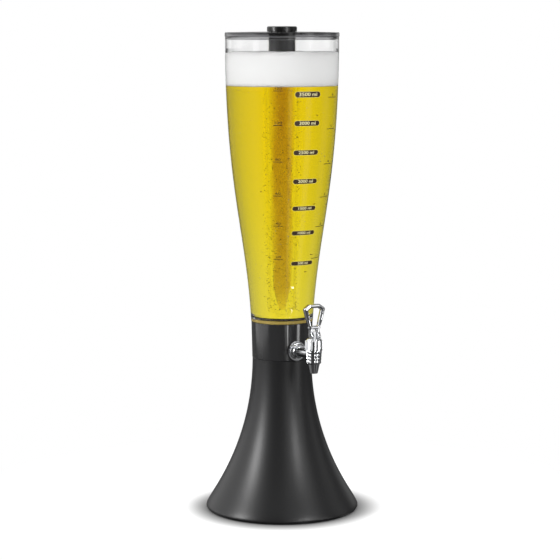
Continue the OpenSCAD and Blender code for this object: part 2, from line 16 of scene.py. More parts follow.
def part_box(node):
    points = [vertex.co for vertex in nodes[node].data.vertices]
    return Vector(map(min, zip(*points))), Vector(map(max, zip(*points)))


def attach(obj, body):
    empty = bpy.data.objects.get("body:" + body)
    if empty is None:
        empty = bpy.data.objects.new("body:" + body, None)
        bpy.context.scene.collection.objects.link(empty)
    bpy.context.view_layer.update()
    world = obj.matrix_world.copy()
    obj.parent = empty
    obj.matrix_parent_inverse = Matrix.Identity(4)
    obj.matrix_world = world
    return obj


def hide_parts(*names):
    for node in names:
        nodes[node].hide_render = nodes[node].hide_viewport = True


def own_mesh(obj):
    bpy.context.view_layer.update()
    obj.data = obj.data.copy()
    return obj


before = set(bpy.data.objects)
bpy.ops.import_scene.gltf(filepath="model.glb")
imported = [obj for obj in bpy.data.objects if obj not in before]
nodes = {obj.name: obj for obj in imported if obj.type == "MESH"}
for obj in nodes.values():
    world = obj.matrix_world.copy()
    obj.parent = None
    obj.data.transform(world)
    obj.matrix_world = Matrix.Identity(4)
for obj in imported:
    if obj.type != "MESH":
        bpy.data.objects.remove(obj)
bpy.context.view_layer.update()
scene = bpy.context.scene
scene.view_settings.view_transform = "Standard"

# %% [markdown]
# The camera comes first, because everything else is judged through it. It looks
# from the left of the tap, level with the lid. A short lens close by would make
# the foot spread and the rim bulge. A long lens far away keeps the tower's sides
# almost parallel, as in a catalogue picture, so that is the one used here.
# Every direction is then counted as a turn from the camera.

# %% The camera
CAMERA_AZIMUTH = math.radians(-27.5)
CAMERA_DISTANCE = 2.698
CAMERA_HEIGHT = 0.685
CAMERA_PITCH = math.radians(7.4)
LENS_MM = 121.1
AXIS_SHIFT = 2 / 560    # the tower stands this share of the frame right of centre


def toward(turn_deg):
    """The level direction at a turn (degrees) from the camera's side of the tower."""
    angle = CAMERA_AZIMUTH + math.radians(turn_deg)
    return Vector((math.sin(angle), -math.cos(angle), 0))


camera_data = bpy.data.cameras.new("camera")
camera = bpy.data.objects.new("camera", camera_data)
scene.collection.objects.link(camera)
scene.camera = camera
camera.location = toward(0) * CAMERA_DISTANCE + Vector((0, 0, CAMERA_HEIGHT))
aim = -toward(0) * math.cos(CAMERA_PITCH) - Vector((0, 0, math.sin(CAMERA_PITCH)))
camera.rotation_mode = "QUATERNION"
camera.rotation_quaternion = aim.to_track_quat("-Z", "Y")
camera_data.lens = LENS_MM
camera_data.shift_x = -AXIS_SHIFT
print("camera at", [round(v, 3) for v in camera.location])

# %% [markdown]
# A studio for plastic, glass and chrome needs large soft lamps, because shiny
# things show the lamps themselves as highlights. Small hard lamps would leave
# dots. Both tall lamps hang above the level of the vessel: the sloping base then
# shows them as streaks, and the upright vessel mirrors the dark room below them
# and stays clear. Four low cards of light stand just above the floor. They draw
# the soft glow and the thin streaks on the collar, which is upright too.

# %% The lamps
def soft_lamp(name, turn, distance, height, size, power, aim_height=0.2):
    """A rectangular lamp at a turn (degrees) from the camera, facing the tower."""
    data = bpy.data.lights.new(name, "AREA")
    data.shape = "RECTANGLE"
    data.size, data.size_y = size
    data.energy = power
    lamp = bpy.data.objects.new(name, data)
    scene.collection.objects.link(lamp)
    lamp.location = toward(turn) * distance + Vector((0, 0, height))
    target = Vector((0, 0, aim_height))
    lamp.rotation_mode = "QUATERNION"
    lamp.rotation_quaternion = (target - lamp.location).to_track_quat("-Z", "Y")
    lamp.visible_transmission = False    # no lamp is seen through the drink
    return lamp


# Name, turn, distance, height of its middle, size in metres, and power in watts
soft_lamp("lamp_left", -67, 2.6, 1.20, (0.66, 0.94), 40)
soft_lamp("lamp_right", 38, 2.6, 1.20, (0.44, 0.94), 21)
soft_lamp("lamp_top", 20, 0.5, 2.4, (2.0, 2.0), 7)

# The low cards face the height that their row ends with
low_cards = [soft_lamp(*row) for row in (
    ("card_left", -84, 1.0, 0.085, (1.3, 0.085), 0.56, 0.085),
    ("card_thin", 12.5, 1.2, 0.050, (0.03, 0.09), 0.05, 0.050),
    ("card_middle", 21, 1.2, 0.050, (0.055, 0.09), 0.30, 0.050),
    ("card_right", 64, 1.2, 0.050, (0.22, 0.09), 0.50, 0.050))]
print("three lamps and four low cards")

# %% [markdown]
# Materials and rooms are built from shader nodes. They could be clicked together
# in the node editor, but then nobody could read what was done. Three small
# helpers keep the code short: one adds a node, one does sums, and one makes a
# smooth step.

# %% Helpers for shader nodes
def add(tree, kind, **values):
    """Adds a shader node; values set its fields, or its sockets by name."""
    node = tree.nodes.new(kind)
    for key, value in values.items():
        if hasattr(node, key):
            setattr(node, key, value)
        else:
            node.inputs[key.replace("_", " ")].default_value = value
    return node


def maths(tree, operation, a, b, clamp=False):
    """A Math node on two links or numbers. Returns its output."""
    node = add(tree, "ShaderNodeMath", operation=operation, use_clamp=clamp)
    for socket, value in zip(node.inputs, (a, b)):
        if isinstance(value, (int, float)):
            socket.default_value = value
        else:
            tree.links.new(value, socket)
    return node.outputs[0]


def step(tree, value, low, high, start=0.0, end=1.0):
    """A smooth step of a link from start at low to end at high. Returns its output."""
    node = add(tree, "ShaderNodeMapRange", interpolation_type="SMOOTHSTEP",
               From_Min=low, From_Max=high, To_Min=start, To_Max=end)
    tree.links.new(value, node.inputs["Value"])
    return node.outputs[0]


print("node helpers ready")

# %% [markdown]
# The room is not the same all round, so its shader has to know which way a ray
# of light goes. That could be worked out as an angle, but an angle jumps where
# the circle closes. A level arrow of length one has no such place, and one sum
# tells how well it points along another arrow.

# %% Helpers for directions
def levelled(tree, direction):
    """A direction with its height taken out, one unit long."""
    flat = add(tree, "ShaderNodeVectorMath", operation="MULTIPLY")
    flat.inputs[1].default_value = (1, 1, 0)
    tree.links.new(direction, flat.inputs[0])
    unit = add(tree, "ShaderNodeVectorMath", operation="NORMALIZE")
    tree.links.new(flat.outputs[0], unit.inputs[0])
    return unit.outputs[0]


def along(tree, direction, way):
    """How well a direction points along a fixed way, from -1 to 1."""
    node = add(tree, "ShaderNodeVectorMath", operation="DOT_PRODUCT")
    node.inputs[1].default_value = way
    tree.links.new(direction, node.inputs[0])
    return node.outputs["Value"]


print("direction helpers ready, the camera looks from", [round(v, 2) for v in toward(0)])

# %% [markdown]
# Mirrors and black plastic look like the room they stand in. In a real studio
# that is a dark room with white screens. Screens could be objects round the
# tower, but they would get in the way of the side views. Here they are painted
# on the room itself: a broad pale one on the left and a few narrow ones. The
# floor mirrors them faintly, so that the upright vessel stays clear.

# %% The screens
ROOM_DARK = 0.05
# Turn from the camera, half width and softness (degrees), and brightness
SCREENS = [(-100, 50, 14, 1.0), (17, 3, 3, 1.2), (58, 6, 4, 1.4), (104, 7, 8, 0.6),
           (152, 9, 8, 0.6), (-172, 8, 8, 0.7)]


def screen_group(name, rows):
    """A node group that gives the brightest of some screens for a direction."""
    group = bpy.data.node_groups.new(name, "ShaderNodeTree")
    group.interface.new_socket("Direction", in_out="INPUT", socket_type="NodeSocketVector")
    group.interface.new_socket("Level", in_out="OUTPUT", socket_type="NodeSocketFloat")
    direction = levelled(group, add(group, "NodeGroupInput").outputs[0])
    level = None
    for turn_deg, half, soft, bright in rows:
        outside = math.cos(math.radians(half + soft))
        inside = math.cos(math.radians(max(0.0, half - soft)))
        screen = step(group, along(group, direction, toward(turn_deg)),
                      outside, inside, 0.0, bright)
        level = screen if level is None else maths(group, "MAXIMUM", level, screen)
    group.links.new(level, add(group, "NodeGroupOutput").inputs[0])
    return group


screens = screen_group("screens", SCREENS)
print(len(SCREENS), "screens in a room at", ROOM_DARK)

# %% [markdown]
# A ray of light remembers its way: whether it comes straight from the camera,
# was mirrored, went through glass, or lights a matt surface. The room could look
# the same to all of them, but a real studio doesn't: the wall behind is lit, and
# the place where the photographer stands is dark. So the rays are sorted first.

# %% Kinds of rays
def scattered(tree, path):
    """1 for a ray that lights a matt surface, also by way of glass, otherwise 0."""
    return maths(tree, "MINIMUM", path.outputs["Diffuse Depth"], 1.0)


def mirrored(tree, path):
    """1 for a ray that was mirrored on its way, 0 for one seen straight or through glass."""
    bounced = maths(tree, "MINIMUM", path.outputs["Glossy Depth"], 1.0)
    through = maths(tree, "MULTIPLY", path.outputs["Is Transmission Ray"], bounced)
    straight = maths(tree, "SUBTRACT", path.outputs["Is Glossy Ray"],
                     path.outputs["Is Transmission Ray"], clamp=True)
    return maths(tree, "SUBTRACT", maths(tree, "MAXIMUM", straight, through),
                 scattered(tree, path), clamp=True)


print("rays can be told apart")

# %% [markdown]
# Seen directly, the room is a white wall. A ray that has been mirrored on its
# way sees the dark room and its screens. A ray straight through the drink is
# bent aside, the more so the nearer it is to the edge, and it finds the wall a
# little darker between the four sides: that shades the edges of the drink as in
# a real glass. Dark boards beside the vessel would do the same, but they would
# hide it in the side views. An even white lights the matt surfaces.

# %% How bright the room is
MATT_LIGHT = 1.0
CORNER_DARK = 0.28    # how much darker the wall is midway between the four sides


def corners(tree, direction):
    """1 toward the four sides of the room and less between them."""
    level = levelled(tree, direction)
    squares = [maths(tree, "POWER", along(tree, level, toward(side)), 2.0) for side in (0, 90)]
    four = maths(tree, "POWER", maths(tree, "SUBTRACT", *squares), 2.0)
    return maths(tree, "ADD", maths(tree, "MULTIPLY", four, CORNER_DARK), 1 - CORNER_DARK)


def room_level(tree, path, direction, glow=1.0):
    """The brightness of the room or floor for each kind of ray, as one number."""
    room = add(tree, "ShaderNodeGroup", node_tree=screens)
    tree.links.new(direction, room.inputs[0])
    in_mirror, matt = mirrored(tree, path), scattered(tree, path)
    white = maths(tree, "SUBTRACT", 1.0, maths(tree, "MAXIMUM", in_mirror, matt))
    seen = maths(tree, "MAXIMUM", path.outputs["Is Camera Ray"], corners(tree, direction))
    screen = maths(tree, "ADD", maths(tree, "MULTIPLY", room.outputs[0], glow), ROOM_DARK)
    glossy = maths(tree, "MULTIPLY", in_mirror, screen)
    even = maths(tree, "MULTIPLY", matt, MATT_LIGHT)
    return maths(tree, "ADD", maths(tree, "MULTIPLY", white, seen),
                 maths(tree, "ADD", glossy, even))


print("the wall is", 1 - CORNER_DARK, "bright at its darkest")

# %% [markdown]
# The room itself is the world's colour. A picture of a studio could be wrapped
# round the scene, but a few rules do the same and can be read.

# %% The room
world = bpy.data.worlds.new("room")
scene.world = world
world.use_nodes = True
tree = world.node_tree
tree.nodes.clear()
path = add(tree, "ShaderNodeLightPath")
coords = add(tree, "ShaderNodeTexCoord")
backdrop = add(tree, "ShaderNodeBackground", Color=(1, 1, 1, 1))
tree.links.new(room_level(tree, path, coords.outputs["Generated"]), backdrop.inputs["Strength"])
tree.links.new(backdrop.outputs[0], add(tree, "ShaderNodeOutputWorld").inputs["Surface"])
print("room light", MATT_LIGHT)

# %% [markdown]
# The floor is a wide disc of paper. A studio would bend the paper up into a
# backdrop, but a bend shows as a grey band from above. So close to the tower it
# is plain pale paper that takes the shadow, and further out it fades into the
# white of the wall, and no line shows where the two meet.

# %% The floor
FLOOR_RADIUS, FLOOR_CORNERS = 60.0, 96

bpy.ops.mesh.primitive_circle_add(vertices=FLOOR_CORNERS, radius=FLOOR_RADIUS,
                                  fill_type="NGON")
floor = bpy.context.object
floor.name = "floor"
print("floor radius", FLOOR_RADIUS)

# %% [markdown]
# Paper is matt and takes a soft shadow. Right under the foot almost no light
# arrives. The lamps alone would leave that shadow too faint, and moving them
# would change every highlight, so a soft dark round is painted on the paper.

# %% The floor's paper
PAPER_WHITE = 0.95
PAPER_EDGE, PAPER_END = 0.16, 0.50    # where the paper starts and ends its fade to white
PAPER_SHINE = 0.12                    # light that the white walls throw back on the paper
FLOOR_GLOW = 0.12                     # how much of the screens the floor mirrors
SHADE_FROM, SHADE_TO, SHADE_LEAST = 0.104, 0.157, 0.22    # the dark round the foot

floor_mat = bpy.data.materials.new("floor_paper")
floor_mat.use_nodes = True
tree = floor_mat.node_tree
tree.nodes.clear()
path = add(tree, "ShaderNodeLightPath")
coords = add(tree, "ShaderNodeTexCoord")
length = add(tree, "ShaderNodeVectorMath", operation="LENGTH")
tree.links.new(coords.outputs["Object"], length.inputs[0])
fade = step(tree, length.outputs["Value"], PAPER_EDGE, PAPER_END)
shade = step(tree, length.outputs["Value"], SHADE_FROM, SHADE_TO, SHADE_LEAST, 1.0)
paper = add(tree, "ShaderNodeBsdfDiffuse")
tree.links.new(maths(tree, "MULTIPLY", shade, PAPER_WHITE), paper.inputs["Color"])
shine = add(tree, "ShaderNodeEmission")
tree.links.new(maths(tree, "MULTIPLY", shade, PAPER_SHINE), shine.inputs["Strength"])
lit = add(tree, "ShaderNodeAddShader")
tree.links.new(paper.outputs[0], lit.inputs[0])
tree.links.new(shine.outputs[0], lit.inputs[1])
far = add(tree, "ShaderNodeEmission")
tree.links.new(room_level(tree, path, coords.outputs["Object"], FLOOR_GLOW),
               far.inputs["Strength"])
blend = add(tree, "ShaderNodeMixShader")
tree.links.new(maths(tree, "MAXIMUM", fade, mirrored(tree, path)), blend.inputs[0])
tree.links.new(lit.outputs[0], blend.inputs[1])
tree.links.new(far.outputs[0], blend.inputs[2])
tree.links.new(blend.outputs[0], add(tree, "ShaderNodeOutputMaterial").inputs["Surface"])
floor.data.materials.append(floor_mat)
print("paper fades from", PAPER_EDGE, "to", PAPER_END)

# %% [markdown]
# A moulded or polished surface is never perfectly even: its gloss and its tone
# drift, and it has a fine grain. Each finish could be its own tangle of nodes.
# But they all differ only in a few numbers, so one helper makes them all, from
# noise in real sizes: a grain of a few millimetres or less varies the gloss and
# raises a fine bump, and slow drifts of a few centimetres vary the tone.

# %% A helper for finishes
DRIFT_WAVES = 18.0    # slow drifts of tone in each metre
COLOUR_A, COLOUR_B, MIXED = 6, 7, 2    # the colour sockets of a Mix node


def finish(name, colour, rough, spread, grain_mm, bump_mm=0.0, tone=0.08, **sockets):
    """A finish: gloss rough +- spread, grain and bump in mm, and a drift of tone."""
    mat = bpy.data.materials.new(name)
    mat.use_nodes = True
    tree = mat.node_tree
    shader = tree.nodes["Principled BSDF"]
    for key, value in sockets.items():
        shader.inputs[key.replace("_", " ")].default_value = value
    coords = add(tree, "ShaderNodeTexCoord")
    grain = add(tree, "ShaderNodeTexNoise", Scale=1000 / grain_mm, Detail=4.0)
    tree.links.new(coords.outputs["Object"], grain.inputs["Vector"])
    drift = add(tree, "ShaderNodeTexNoise", Scale=DRIFT_WAVES, Detail=2.0)
    tree.links.new(coords.outputs["Object"], drift.inputs["Vector"])
    gloss = add(tree, "ShaderNodeMapRange", To_Min=rough - spread, To_Max=rough + spread)
    tree.links.new(grain.outputs["Fac"], gloss.inputs["Value"])
    tree.links.new(gloss.outputs[0], shader.inputs["Roughness"])
    ramp = add(tree, "ShaderNodeMix", data_type="RGBA")
    ramp.inputs[COLOUR_A].default_value = (*[c * (1 - tone) for c in colour], 1)
    ramp.inputs[COLOUR_B].default_value = (*[min(1.0, c * (1 + tone)) for c in colour], 1)
    tree.links.new(drift.outputs["Fac"], ramp.inputs[0])
    tree.links.new(ramp.outputs[MIXED], shader.inputs["Base Color"])
    if bump_mm:
        bump = add(tree, "ShaderNodeBump", Strength=1.0, Distance=bump_mm / 1000)
        tree.links.new(grain.outputs["Fac"], bump.inputs["Height"])
        tree.links.new(bump.outputs[0], shader.inputs["Normal"])
    return mat


def dress(node, mat):
    """Gives a CAD solid a finish in place of its plain colour."""
    mesh = nodes[node].data
    mesh.materials.clear()
    mesh.materials.append(mat)


print("finish helper ready")

# %% [markdown]
# The base and the cover under it are moulded in black plastic. They could be
# shown as painted, but moulded plastic has no clear coat: its colour and its
# gloss are one. The base has the fine satin texture that hides scratches, so its
# highlights are soft. The collar is the same plastic from a polished mould. Feet
# and seals are rubber, which is duller than any plastic, and only the large seal
# at the vessel's foot is pale silicone.

# %% Black plastic and rubber
base_black = finish("base_black", (0.009, 0.009, 0.0095), 0.36, 0.05, 0.6, 0.02, IOR=1.46)
cover_black = finish("cover_black", (0.014, 0.014, 0.015), 0.55, 0.06, 0.8, 0.03)
collar_black = finish("collar_black", (0.017, 0.017, 0.0175), 0.13, 0.03, 2.5, 0.002, IOR=1.5)
stopper_black = finish("stopper_black", (0.006, 0.006, 0.006), 0.26, 0.05, 0.5, 0.01)
rubber_black = finish("rubber_black", (0.012, 0.012, 0.012), 0.7, 0.08, 0.4, 0.02)
seal_black = finish("seal_black", (0.01, 0.01, 0.01), 0.5, 0.06, 0.3, 0.01)
seal_pale = finish("seal_pale", (0.72, 0.70, 0.62), 0.45, 0.06, 0.5, 0.006)
dress("base_shell", base_black)
dress("base_cover", cover_black)
dress("collar", collar_black)
dress("stopper", stopper_black)
dress("rubber_feet", rubber_black)
dress("vessel_seal", seal_pale)
for seal in ("stopper_seal", "stem_seal", "tap_outer_washer", "tap_inner_washer"):
    dress(seal, seal_black)
print("black parts dressed")

# %% [markdown]
# The stopper is one moulding, but its long plug is matt and shows lighter grey
# in the head of the vessel, while the cap is black. It could be cut into two
# pieces for that. It is enough to let the colour change at the cap's foot, by
# height, in the finish it already has.

# %% The stopper's grey plug
CAP_HEIGHT = 0.0070
PLUG_GREY = (0.085, 0.085, 0.086, 1)
PLUG_FADE = 0.0006

cap_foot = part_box("stopper")[1].z - CAP_HEIGHT
tree = stopper_black.node_tree
cap_colour = tree.nodes["Principled BSDF"].inputs["Base Color"]
coords = add(tree, "ShaderNodeTexCoord")
height = add(tree, "ShaderNodeSeparateXYZ")
tree.links.new(coords.outputs["Object"], height.inputs[0])
plug = add(tree, "ShaderNodeMix", data_type="RGBA")
plug.inputs[COLOUR_A].default_value = PLUG_GREY
tree.links.new(step(tree, height.outputs["Z"], cap_foot - PLUG_FADE, cap_foot), plug.inputs[0])
tree.links.new(cap_colour.links[0].from_socket, plug.inputs[COLOUR_B])
tree.links.new(plug.outputs[MIXED], cap_colour)
print("the plug starts at", round(cap_foot, 4))

# %% [markdown]
# The tap's castings are chrome plated: a thin layer of metal that mirrors the
# room, with a trace of blur from polishing. A grey paint with a strong gloss
# would not do, because metal has no colour of its own under the mirror. The
# spring, screws and pin are plain steel, a little duller. Inside sit a plastic
# nut, a plastic stem and a silicone cup.

# %% Metal and tap plastics
chrome = finish("chrome", (0.80, 0.81, 0.83), 0.07, 0.03, 3.0, 0.003, 0.03, Metallic=1.0)
steel = finish("steel", (0.58, 0.58, 0.59), 0.24, 0.06, 0.8, 0.004, 0.05, Metallic=1.0)
nut_white = finish("nut_white", (0.76, 0.76, 0.73), 0.42, 0.05, 1.2, 0.01)
stem_white = finish("stem_white", (0.70, 0.71, 0.72), 0.32, 0.05, 1.5, 0.006)
silicone = finish("silicone", (0.82, 0.82, 0.79), 0.48, 0.06, 0.9, 0.01,
                  Subsurface_Weight=0.15, Subsurface_Scale=0.002)
for part in ("tap_body", "tap_bonnet", "tap_lever"):
    dress(part, chrome)
for part in ("tap_spring", "cover_screws", "lever_pin"):
    dress(part, steel)
dress("tap_nut", nut_white)
dress("valve_stem", stem_white)
dress("valve_cup", silicone)
print("tap dressed")

# %% [markdown]
# Clear plastic bends light at its surface and swallows a little of it on the
# way. A see-through grey would tint every place alike. Here the surface sets the
# bending and the gloss, and the volume inside sets the tint, so a long way
# through the wall looks darker than a short one. That is why the edges of the
# vessel show as grey lines. The lid is the same plastic with smoke-grey dye. The
# ice tube stands in the drink, where its own wall hardly bends the light.

# %% A helper for clear stuff
def clear(name, ior, rough, tint, density, grain_mm, bump_mm=0.0, colour=(1, 1, 1)):
    """A see-through finish whose tint grows with the way that light takes in it."""
    mat = finish(name, colour, rough, rough * 0.5, grain_mm, bump_mm, 0.0,
                 Transmission_Weight=1.0, IOR=ior)
    tree = mat.node_tree
    swallow = add(tree, "ShaderNodeVolumeAbsorption", Color=(*tint, 1), Density=density)
    tree.links.new(swallow.outputs[0], tree.nodes["Material Output"].inputs["Volume"])
    return mat


vessel_clear = clear("vessel_clear", 1.5, 0.012, (0.32, 0.34, 0.34), 6.0, 6.0, 0.004)
lid_smoke = clear("lid_smoke", 1.5, 0.08, (0.25, 0.25, 0.26), 16.0, 5.0, 0.003,
                  (0.50, 0.50, 0.51))
tube_clear = clear("tube_clear", 1.006, 0.0, (0.50, 0.40, 0.20), 9.0, 5.0)
dress("vessel", vessel_clear)
dress("lid", lid_smoke)
dress("ice_tube", tube_clear)
print("clear parts dressed")

# %% [markdown]
# The drink fills the vessel, so its outline is the vessel's inner wall. The
# curve could be copied out of the CAD source, but a later change there would
# leave a gap here. So the wall is read off the CAD mesh, ring by ring from the
# rim down. A ring belongs to a wall if it is almost as wide as that wall's last
# ring, because the two walls are always further apart than that.

# %% The vessel's walls
VESSEL_WALL = 0.003
RING_STEP = 0.0015     # the most that a wall's radius changes from ring to ring
BORE_RISE = 0.005      # the inner wall is read from this height above the collar
MIDDLE = 0.48          # where the wall is measured as a check


def wall(node, start_radius, lowest):
    """The (height, radius) rings of one wall of a turned solid, lowest first."""
    rings = {(round(v.co.z, 4), round(math.hypot(v.co.x, v.co.y), 5))
             for v in nodes[node].data.vertices}
    chain, last = [], start_radius
    for z, r in sorted(rings, reverse=True):
        if abs(r - last) < RING_STEP and z >= lowest:
            chain.append((z, r))
            last = r
    return sorted(chain)


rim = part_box("vessel")[1]
collar_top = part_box("collar")[1].z
outer_wall = wall("vessel", rim.x, collar_top)
inner_wall = wall("vessel", rim.x - VESSEL_WALL, collar_top + BORE_RISE)


def outer_radius(z):
    """The vessel's outer radius at a height."""
    return float(np.interp(z, *zip(*outer_wall)))


def inner_radius(z):
    """The vessel's inner radius at a height above its bore."""
    return float(np.interp(z, *zip(*inner_wall)))


print(len(outer_wall), "outer rings,", len(inner_wall), "inner rings, wall at half height",
      round((outer_radius(MIDDLE) - inner_radius(MIDDLE)) * 1000, 2), "mm")

# %% [markdown]
# A new piece needs a mesh, a finish, a name and a body of the tower to ride on.
# The primitives in Blender's menu give only boxes, balls and rods. Points and
# faces worked out in code can follow the vessel's own wall.

# %% A helper for new pieces
def keep_mesh(name, points, faces, mat, body, smooth=True):
    """Makes one piece from points and faces, with its finish, riding on a body."""
    mesh = bpy.data.meshes.new(name)
    mesh.from_pydata([tuple(p) for p in points], [], faces)
    mesh.update()
    mesh.validate()
    if smooth:
        mesh.shade_smooth()
    mesh.materials.append(mat)
    piece = bpy.data.objects.new(name, mesh)
    scene.collection.objects.link(piece)
    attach(piece, body)
    return piece


print("piece helper ready")

# %% [markdown]
# The drink, the foam and the ice are all round, like the vessel that shapes
# them. A screw modifier could spin their outlines. A helper of a few lines does
# it too, and it closes the two ends with fans, so that every piece is a closed
# body, as light that goes through it needs.

# %% A helper for turned pieces
AROUND = 144


def turn(profile, around=AROUND):
    """Points and faces of a closed (radius, height) profile, from foot to top on the axis."""
    angles = [2 * math.pi * i / around for i in range(around)]
    points = [(0, 0, profile[0][1])]
    for r, z in profile[1:-1]:
        points += [(r * math.cos(a), r * math.sin(a), z) for a in angles]
    points.append((0, 0, profile[-1][1]))
    faces = [(0, 1 + (i + 1) % around, 1 + i) for i in range(around)]
    rows = len(profile) - 2
    for k in range(rows - 1):
        for i in range(around):
            a, b = 1 + k * around + i, 1 + k * around + (i + 1) % around
            faces.append((a, b, b + around, a + around))
    top, first = len(points) - 1, 1 + (rows - 1) * around
    faces += [(first + i, first + (i + 1) % around, top) for i in range(around)]
    return points, faces


print("turning helper, quarter turn has", AROUND // 4, "steps")

# %% [markdown]
# A lager is yellow because it swallows blue light almost at once and a little
# green on the way through. Yellow glass would show the same colour everywhere;
# a tinted volume is paler at the thin edges and deeper in the middle. The drink
# is one solid from the collar up to the foam. It reaches a hair into the
# vessel's wall: with no gap, light goes straight from plastic into liquid, as in
# a wet glass.

# %% The drink
DRINK_TOP = 0.615
BORE_RADIUS, BORE_HIGH = 0.0380, 0.2800
DRINK_RINGS = 44
FIRST_RING = 0.012    # the lowest of them lies this far above the collar
WETTING = 0.0001
SHARP_EDGE = math.radians(35)

drink_gold = clear("drink_gold", 1.335, 0.0, (0.996, 0.942, 0.0), 40.0, 4.0)
heights = np.linspace(collar_top + FIRST_RING, DRINK_TOP, DRINK_RINGS)
profile = [(0, BORE_HIGH), (BORE_RADIUS + WETTING, BORE_HIGH)]
profile += [(inner_radius(z) + WETTING, z) for z in heights] + [(0, DRINK_TOP)]
drink = keep_mesh("drink", *turn(profile), drink_gold, "reservoir_unit")
drink.data.set_sharp_from_angle(angle=SHARP_EDGE)
slices = sum(math.pi * inner_radius(z) ** 2 for z in heights)
print("drink holds about", round(slices * (heights[1] - heights[0]) * 1000, 2), "litres")

# %% [markdown]
# The rest of the drink stands in the collar's well. As clear liquid it would be
# black there, since the collar lets no light in from behind, and the foot of the
# vessel would end in a dark ring. On the real tower the lit drink above it gives
# the foot an amber glow. A matt amber body stands for that: the glow is painted
# light in its colour.

# %% The drink in the well
WELL_RADIUS, WELL_FLOOR, BORE_LOW = 0.0400, 0.2262, 0.2600
MEET = 0.0008         # the two parts of the drink reach into each other by this much

# The amber colour is painted light: the glow of the lit drink above.
well_drink_painted_glow = finish("well_drink_painted_glow", (0.72, 0.52, 0.10), 0.4, 0.05, 3.0)
well = [(0, WELL_FLOOR), (WELL_RADIUS, WELL_FLOOR), (WELL_RADIUS, BORE_LOW),
        (BORE_RADIUS, BORE_LOW), (BORE_RADIUS, BORE_HIGH - MEET),
        (BORE_RADIUS - MEET, BORE_HIGH + MEET), (0, BORE_HIGH + MEET)]
well_glow_body = keep_mesh("drink_in_the_well", *turn(well), well_drink_painted_glow, "reservoir_unit")
well_glow_body.data.set_sharp_from_angle(angle=SHARP_EDGE)
print("the well is", round((BORE_LOW - WELL_FLOOR) * 1000, 1), "mm deep")

# %% [markdown]
# The ice tube is filled with water and frozen as one rod. A soft dark streak
# runs down its middle, and it is painted shade: a brown rod inside the ice
# swallows light. It is one slowly twisting rod with blunt corners: it is
# thickest in the middle from every side, and the light that it swallows draws
# the streak.

# %% The shape of the dark core
tube_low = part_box("ice_tube")[0].z
TUBE_END_RADIUS, TUBE_TOP_RADIUS, TUBE_TOP = 0.0144, 0.019, 0.640
TUBE_WALL = 0.0019
CORE_LOW, CORE_HIGH = tube_low + 0.007, 0.650
CORE_MOST = 0.0158            # the core's greatest radius
CORE_GAP = 0.0004             # clear ice between the core and the tube's wall
CORE_TIP, CORE_TAPER = 0.35, 0.05    # share of its girth at the tip, height to grow full
CORE_TWIST = 9.0              # turn, in radians for each metre of height
CORE_BLUNT = 1.15             # 2 is round, 1 is square, between them are blunt corners
WANDER, WANDER_WAVES = 0.5, 30       # the twist wavers by this much, so often in a metre
LUMPS, LUMP_WAVES = 0.10, 80         # and so does the girth
LUMP_ROOM = 1.06              # the girth is divided by this, to leave room for the lumps


def tube_radius(z):
    """The ice tube's outer radius at a height."""
    share = (z - tube_low) / (TUBE_TOP - tube_low)
    return TUBE_END_RADIUS + (TUBE_TOP_RADIUS - TUBE_END_RADIUS) * share


def core_radius(x, y, z):
    """The core's radius at a height, toward a point of the unit circle."""
    girth = (min(CORE_MOST, tube_radius(z) - TUBE_WALL) - CORE_GAP) / LUMP_ROOM
    grown = min(1.0, CORE_TIP + (z - CORE_LOW) / CORE_TAPER)
    wander = WANDER * noise.noise(Vector((0, 0, z * WANDER_WAVES)))
    a = math.atan2(y, x) + CORE_TWIST * z + wander
    blunt = 1 / (abs(math.cos(a)) ** CORE_BLUNT + abs(math.sin(a)) ** CORE_BLUNT)
    return girth * grown * blunt * (1 + LUMPS * noise.noise(Vector((x * 2, y * 2, z * LUMP_WAVES))))


half_way = (CORE_LOW + CORE_HIGH) / 2
print("core radius half way up", round(core_radius(1, 0, half_way) * 1000, 1), "mm")

# %% [markdown]
# The core is an outline of radius one that is turned first. Each of its points
# is then drawn in to the core's own radius there. Its surface hardly bends the
# light, so it shows no edge of its own in the clear ice.

# %% The dark core
STEPS_AROUND, STEPS_UP = 48, 90

# The core's brown tint is painted shade: the light it swallows draws the dark streak.
shading = clear("painted_shade_core", 1.003, 0.0, (0.42, 0.10, 0.0), 43.0, 2.0)
levels = np.linspace(CORE_LOW + CORE_GAP, CORE_HIGH - CORE_GAP, STEPS_UP)
points, faces = turn([(0, CORE_LOW)] + [(1, z) for z in levels] + [(0, CORE_HIGH)], STEPS_AROUND)
core = []
for x, y, z in points:
    r = core_radius(x, y, z)
    core.append((x * r, y * r, z))
keep_mesh("ice_core", core, faces, shading, "tube_unit")
print("the cloudy core is", round((CORE_HIGH - CORE_LOW) * 1000), "mm long")

# %% [markdown]
# Foam is a mass of bubbles too small to see. A scattering volume would be true
# to it and very slow. So it is drawn as soft white matter that glows a little,
# because light creeps through real foam from all sides. Its top is uneven, and
# its underside is ragged where the last bubbles hang in the drink.

# %% The foam
FOAM_TOP = 0.662
FOAM_DIP, FOAM_RIM = 0.001, 0.002    # it dips into the drink, and its edges are rounded off
SIDE_FOOT, SIDE_HEAD = 0.0006, 0.001    # the edges' rounding, seen from the side
HUB = 0.004                          # the innermost ring of its faces
RINGS_BELOW, RINGS_BESIDE, RINGS_ABOVE = 16, 10, 22
NEAR_TOP = 0.0012                    # what lies this near the top is uneven
# Slice of the noise, waves in a metre, and height
TOP_WAVES = ((0.2, 60, 0.0012), (0.7, 260, 0.0005))
RAGGED = ((0.4, 420, 0.0005),)


def uneven(x, y, waves):
    """The height of some waves of noise at a place."""
    return sum(noise.noise(Vector((x, y, cut)) * fine) * high for cut, fine, high in waves)


